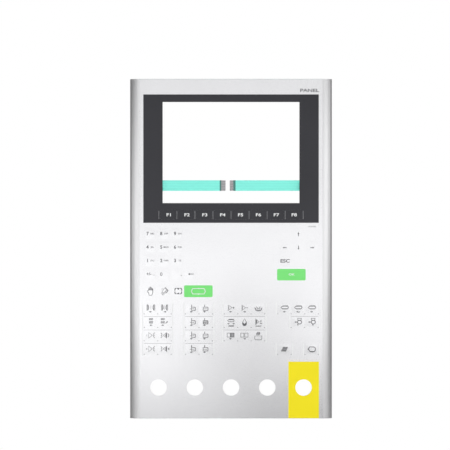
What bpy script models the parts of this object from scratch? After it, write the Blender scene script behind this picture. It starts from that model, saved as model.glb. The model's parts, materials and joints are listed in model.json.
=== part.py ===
"""Front panel of a machine operator terminal: an extruded aluminium front plate that carries a
membrane keypad, with a display window and five holes for push buttons.

Metres, +Z up. The panel stands upright. X runs across it, -Y is the side that the operator sees,
and the origin is the centre of the front plate's flat rear face.
"""
import math

import bmesh
import bpy
from mathutils import Vector

MM = 0.001

# Front plate: one extruded profile, cut to length.
PANEL_WIDTH = 315 * MM
PANEL_HEIGHT = 529 * MM
PANEL_REACH_BACK = 20 * MM
WALL = 3 * MM
EDGE_RADIUS = 14 * MM
FLANGE_WIDTH = 14 * MM
SHOULDER_LAND = 0.3 * MM
CUT_END_BEVEL = 0.5 * MM
EDGE_ARC_STEPS = 10

# Display window and the holes for the control devices.
WINDOW_WIDTH = 213 * MM
WINDOW_HEIGHT = 157.4 * MM
WINDOW_Z = 149.75 * MM
WINDOW_CORNER = 1 * MM
HOLE_DIAMETER = 25.7 * MM
HOLE_PITCH = 56.5 * MM
HOLE_COUNT = 5
HOLE_Z = -216.4 * MM
HOLE_SIDES = 36
HIDDEN_HOLE_SIDES = 16

# Membrane keypad: sheets stacked on the plate's front, from the plate outwards.
SHEET_GAP = 0.05 * MM
ADHESIVE = 0.15 * MM
FILM = 0.20 * MM
DOME_RISE = 0.30 * MM
KEY_TRAVEL = 0.40 * MM
OVERLAY = 0.25 * MM
KEY_FLANGE = 0.25 * MM
SIDE_GAP = 0.3 * MM
END_INSET = 1.2 * MM
LAYER_MARGIN = 0.5 * MM

# Keys.
KEY_PITCH = 21 * MM
KEY_FACE = 17.6 * MM
KEY_CORNER = 2 * MM
KEY_GAP = 0.2 * MM
FLANGE_LAP = 0.5 * MM
FLANGE_GAP = 0.25 * MM
CORNER_STEPS = 1
FUNCTION_KEYS = 8
FUNCTION_PITCH = 28.1 * MM
FUNCTION_FACE = (24.2 * MM, 14.6 * MM)
FUNCTION_Z = 53 * MM
DIGIT_TOP_Z = 23.5 * MM
MODE_Z = -66 * MM
GROUP_TOP_Z = -93 * MM
GROUP_FACE_HEIGHT = 15.3 * MM
GROUP_FACE_INSET = 0.1 * MM
FIRST_COLUMN_X = -126 * MM
CONFIRM_FACE = (44.4 * MM, 18.0 * MM)
CONFIRM_PLACE = (94 * MM, -40.5 * MM)
START_FACE = (44.4 * MM, 18.4 * MM)
START_PLACE = (-50.9 * MM, -66.3 * MM)
DOME_BASE = 6 * MM
DOME_TOP = 3.5 * MM
DOME_SIDES = 6
CONTACT_HOLE = 4 * MM

# Tails: film strips that leave the circuit sheets through slots beside the window.
TAIL_WIDTH = 16.5 * MM
TAIL_Z = 98.4 * MM
TAIL_START_X = 125 * MM
TAIL_DIVE = (122.5 * MM, 112.5 * MM)
TAIL_Y = 1.05 * MM
LEFT_TAIL_END_X = -8.6 * MM
RIGHT_TAIL_END_X = -2.0 * MM
STIFFENER_LENGTH = 12 * MM
STIFFENER = 0.3 * MM
SLOT_X = (111.4 * MM, 125.3 * MM)
SLOT_HEIGHT = 18.6 * MM

# Power light, behind the overlay beside its printed word.
LIGHT_PLACE = (113.5 * MM, 35.3 * MM)
LIGHT_SIZE = (3.0 * MM, 0.7 * MM, 1.6 * MM)
LIGHT_ROOM = 0.6 * MM

# Studs welded to the rear face: the outer ones hold the housing, the inner ones the display.
STUD_SIDES = 10
STUD_COLLAR = (3.2 * MM, 0.8 * MM)
HOUSING_STUD = (2.0 * MM, 12 * MM)
HOUSING_STUD_X = 134 * MM
HOUSING_STUD_Z = (248 * MM, 30 * MM, -90 * MM, -250 * MM)
DISPLAY_STUD = (1.5 * MM, 9 * MM)
DISPLAY_STUD_X = 117 * MM
DISPLAY_STUD_Z = (62 * MM, 237.5 * MM)

# Depths of the stack's faces, counted towards the front from the plate's front face.
PLATE_FRONT = -WALL
REAR_ADHESIVE_BACK = PLATE_FRONT - SHEET_GAP
LOWER_CIRCUIT_BACK = REAR_ADHESIVE_BACK - ADHESIVE - SHEET_GAP
CIRCUIT_SPACER_BACK = LOWER_CIRCUIT_BACK - FILM - SHEET_GAP
UPPER_CIRCUIT_BACK = CIRCUIT_SPACER_BACK - FILM - SHEET_GAP
DOME_SHEET_BACK = UPPER_CIRCUIT_BACK - FILM - SHEET_GAP
DOME_SHEET_FRONT = DOME_SHEET_BACK - FILM
KEY_BACK = DOME_SHEET_FRONT - DOME_RISE - KEY_TRAVEL - SHEET_GAP
KEY_FLANGE_FRONT = KEY_BACK - KEY_FLANGE
OVERLAY_BACK = KEY_FLANGE_FRONT - SHEET_GAP
OVERLAY_FRONT = OVERLAY_BACK - OVERLAY
SPACER_BACK = DOME_SHEET_FRONT - SHEET_GAP
SPACER_FRONT = KEY_FLANGE_FRONT
SHEET_HALF_WIDTH = PANEL_WIDTH / 2 - EDGE_RADIUS - SHOULDER_LAND - SIDE_GAP
SHEET_HALF_HEIGHT = PANEL_HEIGHT / 2 - END_INSET

SILVER = (0.78, 0.78, 0.79)
BLACK = (0.035, 0.035, 0.04)
GREEN = (0.26, 0.72, 0.25)
TEAL = (0.25, 0.85, 0.74)
CARBON = (0.35, 0.35, 0.36)
CLEAR_FILM = (0.72, 0.74, 0.76)
GLUE = (0.82, 0.80, 0.70)


def clear_scene():
    for item in list(bpy.data.objects):
        bpy.data.objects.remove(item, do_unlink=True)


def material(name, colour, roughness, metallic=0.0):
    made = bpy.data.materials.new(name)
    made.use_nodes = True
    shader = made.node_tree.nodes["Principled BSDF"]
    shader.inputs["Base Color"].default_value = (*colour, 1.0)
    shader.inputs["Roughness"].default_value = roughness
    shader.inputs["Metallic"].default_value = metallic
    return made


def add_object(name, bm, finish=None, place=(0, 0, 0), parent=None):
    bmesh.ops.recalc_face_normals(bm, faces=bm.faces)
    mesh = bpy.data.meshes.new(name)
    bm.to_mesh(mesh)
    bm.free()
    made = bpy.data.objects.new(name, mesh)
    made.location = place
    made.parent = parent
    bpy.context.scene.collection.objects.link(made)
    if finish:
        mesh.materials.append(finish)
    return made


def shade_round(made, sharp_degrees=30):
    made.data.shade_smooth()
    made.data.set_sharp_from_angle(angle=math.radians(sharp_degrees))


def rounded_box(width, height, corner, steps=CORNER_STEPS, centre=(0, 0)):
    """Outline (x, z) of a box with rounded corners, each corner an arc of a few steps."""
    points = []
    for quarter, (sx, sz) in enumerate(((1, 1), (-1, 1), (-1, -1), (1, -1))):
        cx = centre[0] + sx * (width / 2 - corner)
        cz = centre[1] + sz * (height / 2 - corner)
        for step in range(steps + 1):
            turn = math.pi / 2 * (quarter + step / steps)
            points.append((cx + corner * math.cos(turn), cz + corner * math.sin(turn)))
    return points


def circle(radius, sides, centre=(0, 0)):
    """Outline (x, z) of a round hole or pin."""
    turns = [2 * math.pi * n / sides for n in range(sides)]
    return [(centre[0] + radius * math.cos(t), centre[1] + radius * math.sin(t)) for t in turns]


def box(width, height, centre):
    """Outline (x, z) of a square-cornered box."""
    x, z = centre
    return [(x + sx * width / 2, z + sz * height / 2)
            for sx, sz in ((1, 1), (-1, 1), (-1, -1), (1, -1))]


def loft(bm, rings):
    """Close a stack of rings, each an (x, z) outline at its own y, into one solid."""
    layers = [[bm.verts.new((x, y, z)) for x, z in outline] for y, outline in rings]
    for low, high in zip(layers, layers[1:]):
        for n in range(len(low)):
            after = (n + 1) % len(low)
            bm.faces.new((low[n], low[after], high[after], high[n]))
    bm.faces.new(layers[0])
    bm.faces.new(layers[-1])


def prism(bm, outline, back, front):
    loft(bm, [(back, outline), (front, outline)])


def tool_body(name, solids):
    """A hidden object made of several lofted solids, to cut from or join to another."""
    bm = bmesh.new()
    for rings in solids:
        loft(bm, rings)
    made = add_object(name, bm)
    made.hide_render = True
    made.display_type = "WIRE"
    return made


def combine(target, tool, operation):
    boolean = target.modifiers.new(tool.name, "BOOLEAN")
    boolean.object = tool
    boolean.operation = operation
    boolean.solver = "EXACT"


def through(outline, back, front):
    """Rings of a cutter that runs past both faces of a sheet."""
    past = 1 * MM
    return [(back + past, outline), (front - past, outline)]


def window_outline(margin):
    return rounded_box(WINDOW_WIDTH + 2 * margin, WINDOW_HEIGHT + 2 * margin, WINDOW_CORNER,
                       centre=(0, WINDOW_Z))


def hole_outlines(margin, sides):
    middle = (HOLE_COUNT - 1) / 2
    return [circle(HOLE_DIAMETER / 2 + margin, sides, ((n - middle) * HOLE_PITCH, HOLE_Z))
            for n in range(HOLE_COUNT)]


def slot_outlines():
    width = SLOT_X[1] - SLOT_X[0]
    middle = (SLOT_X[0] + SLOT_X[1]) / 2
    return [box(width, SLOT_HEIGHT, (side * middle, TAIL_Z)) for side in (-1, 1)]


def column_x(column):
    """Centre of a column of the key grid, the leftmost being 0."""
    return FIRST_COLUMN_X + column * KEY_PITCH


def key_table():
    """Every moving key face: name, centre (x, z), face size, how many keys it carries, colour.
    The framed groups stand off the grid: each gives its centre, first row and keys in a row."""
    square = (KEY_FACE, KEY_FACE)
    keys = []
    for n in range(FUNCTION_KEYS):
        x = (n - (FUNCTION_KEYS - 1) / 2) * FUNCTION_PITCH
        keys.append((f"key_f{n + 1}", (x, FUNCTION_Z), FUNCTION_FACE, 1, BLACK))
    digits = ("7", "8", "9"), ("4", "5", "6"), ("1", "2", "3"), ("sign", "0", "point", "delete")
    for row, names in enumerate(digits):
        for column, name in enumerate(names):
            place = (column_x(column), DIGIT_TOP_Z - row * KEY_PITCH)
            keys.append((f"key_{name}", place, square, 1, SILVER))
    cross = ("up", 11, 0), ("left", 10, 1), ("down", 11, 1), ("right", 12, 1), ("escape", 10, 2)
    for name, column, row in cross:
        place = (column_x(column), DIGIT_TOP_Z - row * KEY_PITCH)
        keys.append((f"key_{name}", place, square, 1, SILVER))
    keys.append(("key_confirm", CONFIRM_PLACE, CONFIRM_FACE, 1, GREEN))
    for column, name in enumerate(("manual", "setup", "automatic")):
        keys.append((f"key_{name}", (column_x(column), MODE_Z), square, 1, SILVER))
    keys.append(("key_start", START_PLACE, START_FACE, 1, GREEN))
    groups = (
        (-114.2 * MM, 0, 2, ("mould_pair", "plate_pair", "nozzle_pair_upper", "nozzle_pair_lower")),
        (-50.0 * MM, 0, 2, ("core_pair_1", "core_pair_2", "core_pair_3", "core_pair_4")),
        (20.8 * MM, 0, 3, ("heating_trio", "screw_trio", "part_trio")),
        (104.3 * MM, 0, 3, ("barrel_trio",)),
        (114.6 * MM, 1, 2, ("carriage_pair",)),
        (83.2 * MM, 3, 1, ("key_lubrication",)),
        (125.5 * MM, 3, 1, ("key_barrel",)),
    )
    for centre_x, top_row, count, names in groups:
        for row, name in enumerate(names, top_row):
            face = (count * KEY_PITCH - 2 * GROUP_FACE_INSET, GROUP_FACE_HEIGHT)
            keys.append((name, (centre_x, GROUP_TOP_Z - row * KEY_PITCH), face, count, SILVER))
    return keys


def dome_centres(keys):
    """One snap dome under each printed key; a joined face carries one for each of its keys."""
    centres = []
    for _, (x, z), _, count, _ in keys:
        for n in range(count):
            centres.append((x + (n - (count - 1) / 2) * KEY_PITCH, z))
    return centres


def edge_arc(radius, start, end):
    """Points (x, y) along the rounded long edge, measured from straight ahead (0) to the side."""
    centre_x = PANEL_WIDTH / 2 - EDGE_RADIUS
    centre_y = OVERLAY_FRONT + EDGE_RADIUS
    points = []
    for step in range(EDGE_ARC_STEPS + 1):
        turn = start + (end - start) * step / EDGE_ARC_STEPS
        points.append((centre_x + radius * math.sin(turn), centre_y - radius * math.cos(turn)))
    return points


def half_profile():
    """Right half of the plate's profile (x, y), from the middle of the front to the middle of the
    rear: flat front, shoulder, rounded edge, side wall, return flange, inner arc, flat rear."""
    side = PANEL_WIDTH / 2
    shoulder = side - EDGE_RADIUS - SHOULDER_LAND
    inner = EDGE_RADIUS - WALL
    centre_y = OVERLAY_FRONT + EDGE_RADIUS
    inner_start = math.acos(centre_y / inner)
    points = [(shoulder, PLATE_FRONT), (shoulder, OVERLAY_FRONT)]
    points += edge_arc(EDGE_RADIUS, 0, math.pi / 2)
    points += [
        (side, PANEL_REACH_BACK),
        (side - FLANGE_WIDTH, PANEL_REACH_BACK),
        (side - FLANGE_WIDTH, PANEL_REACH_BACK - WALL),
        (side - WALL, PANEL_REACH_BACK - WALL),
    ]
    points += edge_arc(inner, math.pi / 2, inner_start)
    return points


def make_front_plate(finish):
    right = half_profile()
    outline = right + [(-x, y) for x, y in reversed(right)]
    bm = bmesh.new()
    ends = []
    for z in (-PANEL_HEIGHT / 2, PANEL_HEIGHT / 2):
        ends.append([bm.verts.new((x, y, z)) for x, y in outline])
    for n in range(len(outline)):
        after = (n + 1) % len(outline)
        bm.faces.new((ends[0][n], ends[0][after], ends[1][after], ends[1][n]))
    for ring in ends:
        bm.faces.new(ring)
    rims = [edge for edge in bm.edges if edge.verts[0].co.z == edge.verts[1].co.z]
    bmesh.ops.bevel(bm, geom=rims, offset=CUT_END_BEVEL, segments=1, affect="EDGES")
    plate = add_object("front_plate", bm, finish)

    outlines = [window_outline(LAYER_MARGIN), *hole_outlines(SHEET_GAP, HOLE_SIDES),
                *slot_outlines()]
    cuts = [through(outline, 0, PLATE_FRONT) for outline in outlines]
    combine(plate, tool_body("plate_cuts", cuts), "DIFFERENCE")
    combine(plate, tool_body("plate_studs", stud_solids()), "UNION")
    shade_round(plate)
    return plate


def stud_solids():
    solids = []
    for (radius, length), x, rows in (
        (HOUSING_STUD, HOUSING_STUD_X, HOUSING_STUD_Z),
        (DISPLAY_STUD, DISPLAY_STUD_X, DISPLAY_STUD_Z),
    ):
        for z in rows:
            for side in (-1, 1):
                solids.append(stud_rings(radius, length, (side * x, z)))
    return solids


def stud_rings(radius, length, centre):
    """A stud: weld collar sunk in the plate, shank, and a chamfered tip."""
    chamfer = 0.5 * MM
    collar_radius, collar_height = STUD_COLLAR
    profile = (
        (-WALL / 2, collar_radius),
        (collar_height, collar_radius),
        (collar_height, radius),
        (length - chamfer, radius),
        (length, radius - chamfer),
    )
    return [(y, circle(r, STUD_SIDES, centre)) for y, r in profile]


def make_sheet(name, back, thickness, finish, cutouts=(), margin=LAYER_MARGIN,
               hole_sides=HIDDEN_HOLE_SIDES):
    """One flat sheet of the keypad, with the window, the five holes and its own cut-outs."""
    front = back - thickness
    bm = bmesh.new()
    prism(bm, box(2 * SHEET_HALF_WIDTH, 2 * SHEET_HALF_HEIGHT, (0, 0)), back, front)
    sheet = add_object(name, bm, finish)
    outlines = [window_outline(margin), *hole_outlines(margin, hole_sides), *cutouts]
    cuts = [through(outline, back, front) for outline in outlines]
    combine(sheet, tool_body(f"{name}_cuts", cuts), "DIFFERENCE")
    return sheet


def grown(outline_size, extra):
    return outline_size[0] + 2 * extra, outline_size[1] + 2 * extra


def key_openings(keys, extra, corner):
    outlines = []
    for _, place, face, _, _ in keys:
        width, height = grown(face, extra)
        if corner:
            outlines.append(rounded_box(width, height, corner, centre=place))
        else:
            outlines.append(box(width, height, place))
    return outlines


def make_keys(keys, finishes, root):
    """Each key face: a cap in the overlay's opening, on a flange that laps under the overlay."""
    for name, (x, z), face, _, colour in keys:
        cap = rounded_box(*face, KEY_CORNER)
        flange = rounded_box(*grown(face, FLANGE_LAP), KEY_CORNER + FLANGE_LAP)
        rings = (
            (KEY_BACK - OVERLAY_FRONT, flange),
            (KEY_FLANGE_FRONT - OVERLAY_FRONT, flange),
            (KEY_FLANGE_FRONT - OVERLAY_FRONT, cap),
            (0, cap),
        )
        bm = bmesh.new()
        loft(bm, rings)
        add_object(name, bm, finishes[colour], (x, OVERLAY_FRONT, z), root)


def make_dome_sheet(keys, finish, light_room):
    """Clear film with a formed dome under every key, hollow from behind."""
    sheet = make_sheet("dome_layer", DOME_SHEET_BACK, FILM, finish, [light_room])
    crest = DOME_SHEET_FRONT - DOME_RISE
    middle = (DOME_SHEET_BACK + DOME_SHEET_FRONT) / 2
    behind = DOME_SHEET_BACK + FILM
    domes, hollows = [], []
    for centre in dome_centres(keys):
        base, top = circle(DOME_BASE, DOME_SIDES, centre), circle(DOME_TOP, DOME_SIDES, centre)
        domes.append([(middle, base), (DOME_SHEET_FRONT, base), (crest, top)])
        inner_base = circle(DOME_BASE - FILM, DOME_SIDES, centre)
        inner_top = circle(DOME_TOP - FILM, DOME_SIDES, centre)
        hollows.append([(behind, inner_base), (DOME_SHEET_BACK, inner_base),
                        (crest + FILM, inner_top)])
    combine(sheet, tool_body("domes", domes), "UNION")
    combine(sheet, tool_body("dome_hollows", hollows), "DIFFERENCE")
    return sheet


def tail_path(side, end_x):
    """Centre line (x, y) of a tail: flat in the circuit sheet, down through the slot in a smooth
    S, and on behind the plate to its free end."""
    start_y = LOWER_CIRCUIT_BACK - FILM / 2
    high, low = TAIL_DIVE
    steps = 10
    points = [(side * TAIL_START_X, start_y)]
    for step in range(steps + 1):
        share = step / steps
        drop = (1 - math.cos(math.pi * share)) / 2
        points.append((side * (high + (low - high) * share), start_y + (TAIL_Y - start_y) * drop))
    points.append((end_x, TAIL_Y))
    return points


def strip(name, path, thickness, finish):
    """A film strip standing on edge: the path is given a thickness and raised to the width."""
    points = [Vector(p) for p in path]
    front, rear = [], []
    for n, point in enumerate(points):
        along = (points[min(n + 1, len(points) - 1)] - points[max(n - 1, 0)]).normalized()
        out = Vector((-along.y, along.x)) * thickness / 2
        front.append(point + out)
        rear.append(point - out)
    outline = front + rear[::-1]
    bm = bmesh.new()
    ends = []
    for z in (TAIL_Z - TAIL_WIDTH / 2, TAIL_Z + TAIL_WIDTH / 2):
        ends.append([bm.verts.new((p.x, p.y, z)) for p in outline])
    for n in range(len(outline)):
        after = (n + 1) % len(outline)
        bm.faces.new((ends[0][n], ends[0][after], ends[1][after], ends[1][n]))
    for ring in ends:
        bm.faces.new(ring)
    return add_object(name, bm, finish)


def make_tails(tail_finish, stiffener_finish):
    """Two tails that point at each other behind the window, each with a stiffener on its end."""
    stiffener_y = TAIL_Y + FILM / 2 + SHEET_GAP + STIFFENER / 2
    for name, side, end_x in (("left", -1, LEFT_TAIL_END_X), ("right", 1, RIGHT_TAIL_END_X)):
        strip(f"{name}_tail", tail_path(side, end_x), FILM, tail_finish)
        start = (end_x + side * STIFFENER_LENGTH, stiffener_y)
        strip(f"{name}_tail_stiffener", [start, (end_x, stiffener_y)], STIFFENER,
              stiffener_finish)


def make_power_light(finish):
    width, depth, height = LIGHT_SIZE
    back = UPPER_CIRCUIT_BACK - FILM - SHEET_GAP
    bm = bmesh.new()
    prism(bm, box(width, height, LIGHT_PLACE), back, back - depth)
    add_object("power_led", bm, finish)


def main():
    clear_scene()
    silver = material("silver_print", SILVER, 0.45, 0.3)
    finishes = {
        SILVER: silver,
        BLACK: material("black_print", BLACK, 0.5),
        GREEN: material("green_print", GREEN, 0.5),
    }
    clear_film = material("clear_film", CLEAR_FILM, 0.3)
    circuit_film = material("circuit_film", TEAL, 0.4)
    glue = material("adhesive", GLUE, 0.6)

    root = bpy.data.objects.new("keypad_frame", None)
    bpy.context.scene.collection.objects.link(root)

    keys = key_table()
    light_room = box(LIGHT_SIZE[0] + 2 * LIGHT_ROOM, LIGHT_SIZE[2] + 2 * LIGHT_ROOM, LIGHT_PLACE)
    contact_holes = [circle(CONTACT_HOLE, DOME_SIDES, c) for c in dome_centres(keys)]
    spacer_rooms = key_openings(keys, FLANGE_LAP + FLANGE_GAP, 0)
    tail_slots = slot_outlines()

    make_front_plate(material("satin_aluminium", SILVER, 0.35, 0.9))
    make_sheet("rear_adhesive", REAR_ADHESIVE_BACK, ADHESIVE, glue, tail_slots)
    make_sheet("lower_circuit", LOWER_CIRCUIT_BACK, FILM, circuit_film, tail_slots)
    make_sheet("circuit_spacer", CIRCUIT_SPACER_BACK, FILM, glue, contact_holes)
    make_sheet("upper_circuit", UPPER_CIRCUIT_BACK, FILM, circuit_film)
    make_dome_sheet(keys, clear_film, light_room)
    make_sheet("overlay_spacer", SPACER_BACK, SPACER_BACK - SPACER_FRONT, glue,
               [*spacer_rooms, light_room])
    make_sheet("graphic_overlay", OVERLAY_BACK, OVERLAY, silver,
               key_openings(keys, KEY_GAP, KEY_CORNER + KEY_GAP), margin=0, hole_sides=HOLE_SIDES)
    make_keys(keys, finishes, root)
    make_tails(circuit_film, material("stiffener", CARBON, 0.5))
    make_power_light(material("light_body", (0.9, 0.9, 0.85), 0.4))


main()
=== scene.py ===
import json
import math

import bpy
from bpy.props import FloatProperty, FloatVectorProperty, PointerProperty
from mathutils import Matrix, Vector


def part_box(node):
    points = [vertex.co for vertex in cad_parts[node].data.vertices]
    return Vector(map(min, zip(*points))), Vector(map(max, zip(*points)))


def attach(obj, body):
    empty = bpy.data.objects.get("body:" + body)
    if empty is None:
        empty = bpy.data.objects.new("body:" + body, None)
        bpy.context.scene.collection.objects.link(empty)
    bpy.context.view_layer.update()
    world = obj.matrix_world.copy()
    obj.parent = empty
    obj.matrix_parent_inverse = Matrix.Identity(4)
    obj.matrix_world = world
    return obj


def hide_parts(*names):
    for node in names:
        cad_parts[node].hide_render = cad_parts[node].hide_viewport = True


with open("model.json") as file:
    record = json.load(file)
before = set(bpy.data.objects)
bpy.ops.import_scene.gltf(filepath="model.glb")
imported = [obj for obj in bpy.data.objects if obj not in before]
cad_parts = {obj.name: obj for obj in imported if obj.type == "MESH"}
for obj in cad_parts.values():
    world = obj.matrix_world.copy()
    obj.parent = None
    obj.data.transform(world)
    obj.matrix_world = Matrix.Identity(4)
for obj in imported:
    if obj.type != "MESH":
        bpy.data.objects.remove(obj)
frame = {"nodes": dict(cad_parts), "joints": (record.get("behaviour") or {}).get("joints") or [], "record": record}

bl_info = {
    "name": "Operator Panel Maker",
    "version": (1, 0, 0),
    "blender": (4, 5, 0),
    "location": "View3D > Sidebar > Operator Panel",
    "description": "Makes the plate, films, keys, printed legends and tails of an operator panel",
    "category": "Object",
}

MM = 0.001
UPRIGHT = math.pi / 2

PLATE_LOW, PLATE_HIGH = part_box("front_plate")
FILM_LOW, FILM_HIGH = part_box("graphic_overlay")
FILM_FRONT = FILM_LOW.y
KEY_BODIES = [joint["child"] for joint in frame["joints"]]
OPENINGS = {opening["name"]: opening for opening in frame["record"]["physics"]["openings"]}

# Keys that share one row face, framed by painted highlights and painted shade: how many keys stand in the row.
KEYS_IN_ROW = {"_pair": 2, "_trio": 3}
FUNCTION_KEYS = [name for name in KEY_BODIES if name.startswith("key_f")]
GREEN_KEYS = ("key_confirm", "key_start")
ROW_FACES = [name for name in KEY_BODIES if not name.startswith("key_")]
# Single keys with the same painted highlights and marks round them as a row.
FRAMED_SINGLES = ["key_lubrication", "key_barrel"]
# Rows that stand under another row: each gets a fine line of painted shade over it, for the shaded top slope of
# its emboss.
LOWER_ROWS = ["plate_pair", "nozzle_pair_upper", "nozzle_pair_lower", "core_pair_2", "core_pair_3",
              "core_pair_4", "screw_trio", "part_trio", "carriage_pair"]


def keys_in_row(node):
    for ending, count in KEYS_IN_ROW.items():
        if ending in node:
            return count
    return 1


# ---------------------------------------------------------------------------------------------
# Settings
# ---------------------------------------------------------------------------------------------

class FilmSettings(bpy.types.PropertyGroup):
    key_lap: FloatProperty(
        name="Key Lap", description="Width of a key's hidden flange under the film",
        default=0.5 * MM, unit="LENGTH")
    key_corner: FloatProperty(
        name="Key Corner", description="Corner radius of a key face",
        default=2.0 * MM, unit="LENGTH")
    key_gap: FloatProperty(
        name="Key Gap", description="Fine line left between a key face and the film round it",
        default=0.03 * MM, unit="LENGTH")
    emboss_rim: FloatProperty(
        name="Emboss Rim", description="Flat rim of a key face outside its raised field",
        default=0.7 * MM, unit="LENGTH")
    emboss_slope: FloatProperty(
        name="Emboss Slope", description="Width of the slope up to the raised field",
        default=1.1 * MM, unit="LENGTH")
    emboss_rise: FloatProperty(
        name="Emboss Rise", description="Height of the raised field over the film",
        default=0.10 * MM, unit="LENGTH")
    border_reach: FloatProperty(
        name="Border Reach", description="How far the black print runs out beside the window",
        default=30.2 * MM, unit="LENGTH")
    border_top: FloatProperty(
        name="Border Top", description="Height of the black print over the window",
        default=11.9 * MM, unit="LENGTH")
    border_foot: FloatProperty(
        name="Border Foot", description="Depth of the black print under the window",
        default=30.8 * MM, unit="LENGTH")
    yellow_left: FloatProperty(
        name="Yellow Left", description="Reach of the yellow field left of its hole's centre",
        default=23.7 * MM, unit="LENGTH")
    yellow_right: FloatProperty(
        name="Yellow Right", description="Reach of the yellow field right of its hole's centre",
        default=24.0 * MM, unit="LENGTH")
    yellow_top: FloatProperty(
        name="Yellow Top", description="Reach of the yellow field over its hole's centre",
        default=40.4 * MM, unit="LENGTH")
    side_trim: FloatProperty(
        name="Side Trim", description="How far the film runs out into the gap at each side",
        default=0.2 * MM, unit="LENGTH")
    end_trim: FloatProperty(
        name="End Trim", description="How far the film runs out towards the panel's cut ends",
        default=0.75 * MM, unit="LENGTH")


class ColourSettings(bpy.types.PropertyGroup):
    silver: FloatVectorProperty(
        name="Silver", description="Silver print and satin metal", subtype="COLOR",
        default=(0.80, 0.80, 0.815), min=0, max=1)
    black: FloatVectorProperty(
        name="Black", description="Black print round the window", subtype="COLOR",
        default=(0.035, 0.035, 0.042), min=0, max=1)
    green: FloatVectorProperty(
        name="Green", description="Confirm and start key fields", subtype="COLOR",
        default=(0.22, 0.84, 0.22), min=0, max=1)
    yellow: FloatVectorProperty(
        name="Yellow", description="Field round the stop button's hole", subtype="COLOR",
        default=(1.0, 0.85, 0.01), min=0, max=1)
    teal: FloatVectorProperty(
        name="Teal", description="Lacquer on the tails", subtype="COLOR",
        default=(0.25, 1.0, 0.85), min=0, max=1)
    dark_ink: FloatVectorProperty(
        name="Dark Ink", description="Digits, letters and key symbols", subtype="COLOR",
        default=(0.10, 0.10, 0.11), min=0, max=1)
    # Painted highlights: grey for the thin lines between the function keys, which stand for glints on their
    # embossed ridges.
    painted_glint_ink: FloatVectorProperty(
        name="Faint Ink", description="Lines between the function keys", subtype="COLOR",
        default=(0.42, 0.42, 0.44), min=0, max=1)
    # This ink also paints the row bars, which are painted highlights on the embossed rims beside each row.
    white_ink: FloatVectorProperty(
        name="White Ink", description="Words and symbols on black and green, and row bars",
        subtype="COLOR",
        default=(0.92, 0.93, 0.93), min=0, max=1)


class LegendSettings(bpy.types.PropertyGroup):
    thickness: FloatProperty(
        name="Ink Thickness", description="Height of printed ink over a face",
        default=0.02 * MM, unit="LENGTH")
    digit_height: FloatProperty(
        name="Digit Size", description="Type size of the digits and escape word, in millimetres",
        default=7.2, min=1)
    letter_height: FloatProperty(
        name="Letter Size", description="Type size of the small letters beside the digits",
        default=3.4, min=1)
    function_height: FloatProperty(
        name="Function Size", description="Type size of the function key numbers",
        default=6.6, min=1)
    line_weight: FloatProperty(
        name="Line Weight", description="Width of the drawn lines, as a factor",
        default=1.15, min=0.2)
    wide: FloatProperty(
        name="Width of Words", description="Width of the function and confirm words, as a factor",
        default=1.38, min=0.5)


class StageSettings(bpy.types.PropertyGroup):
    distance: FloatProperty(
        name="Camera Distance", description="From the camera to the panel's front",
        default=5.0, unit="LENGTH")
    field: FloatProperty(
        name="Field Width", description="Width that the camera sees at the panel's front",
        default=0.701, unit="LENGTH")
    aim: FloatVectorProperty(
        name="Camera Place", description="Camera's place across and up the panel", size=2,
        default=(-0.0094, 0.0369), subtype="XYZ", unit="LENGTH")
    floor_drop: FloatProperty(
        name="Floor Drop", description="Depth of the floor under the panel's foot",
        default=0.42, unit="LENGTH")
    room_light: FloatProperty(
        name="Room Light", description="Strength of the even light of the room", default=0.10)


SETTINGS = (
    ("panel_film", FilmSettings),
    ("panel_colours", ColourSettings),
    ("panel_legends", LegendSettings),
    ("panel_stage", StageSettings),
)


# ---------------------------------------------------------------------------------------------
# Modelling by hand
# ---------------------------------------------------------------------------------------------

def deselect_all():
    bpy.ops.object.select_all(action="DESELECT")


def pick(piece, *others):
    """Select pieces, the first of them active."""
    deselect_all()
    for one in (piece, *others):
        one.select_set(True)
    bpy.context.view_layer.objects.active = piece


def settle(piece):
    """Put an object's place, turn and size into its mesh."""
    pick(piece)
    bpy.ops.object.transform_apply(location=True, rotation=True, scale=True)
    return piece


def edit(select_mode="VERT"):
    bpy.ops.object.mode_set(mode="EDIT")
    bpy.ops.mesh.select_mode(type=select_mode)


def leave_edit():
    bpy.ops.object.mode_set(mode="OBJECT")


def select_faces(piece, wanted):
    """Select the faces for which wanted(face) holds, and enter face editing."""
    pick(piece)
    edit("FACE")
    bpy.ops.mesh.select_all(action="DESELECT")
    leave_edit()
    for face in piece.data.polygons:
        face.select = wanted(face)
    edit("FACE")


def faces_front(face):
    return face.normal.y < -0.9


def join(pieces, name):
    pick(*pieces)
    if len(pieces) > 1:
        bpy.ops.object.join()
    pieces[0].name = pieces[0].data.name = name
    return pieces[0]


def apply_modifier(piece, kind, **values):
    pick(piece)
    modifier = piece.modifiers.new(kind, kind)
    for key, value in values.items():
        setattr(modifier, key, value)
    bpy.ops.object.modifier_apply(modifier=modifier.name)


def slab(name, low, high, corner=0.0, segments=6):
    """A flat plate that fills a box, its four corners rounded."""
    deselect_all()
    middle = (Vector(low) + Vector(high)) / 2
    bpy.ops.mesh.primitive_plane_add(size=1, location=(middle.x, high[1], middle.z),
                                     rotation=(UPRIGHT, 0, 0))
    piece = bpy.context.object
    piece.name = piece.data.name = name
    piece.scale = (high[0] - low[0], high[2] - low[2], 1)
    settle(piece)
    edit()
    bpy.ops.mesh.select_all(action="SELECT")
    if corner:
        bpy.ops.mesh.bevel(offset=corner, segments=segments, affect="VERTICES")
        bpy.ops.mesh.select_all(action="SELECT")
    bpy.ops.mesh.extrude_region_move(TRANSFORM_OT_translate={"value": (0, low[1] - high[1], 0)})
    bpy.ops.mesh.select_all(action="SELECT")
    bpy.ops.mesh.normals_make_consistent(inside=False)
    leave_edit()
    return piece


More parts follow.
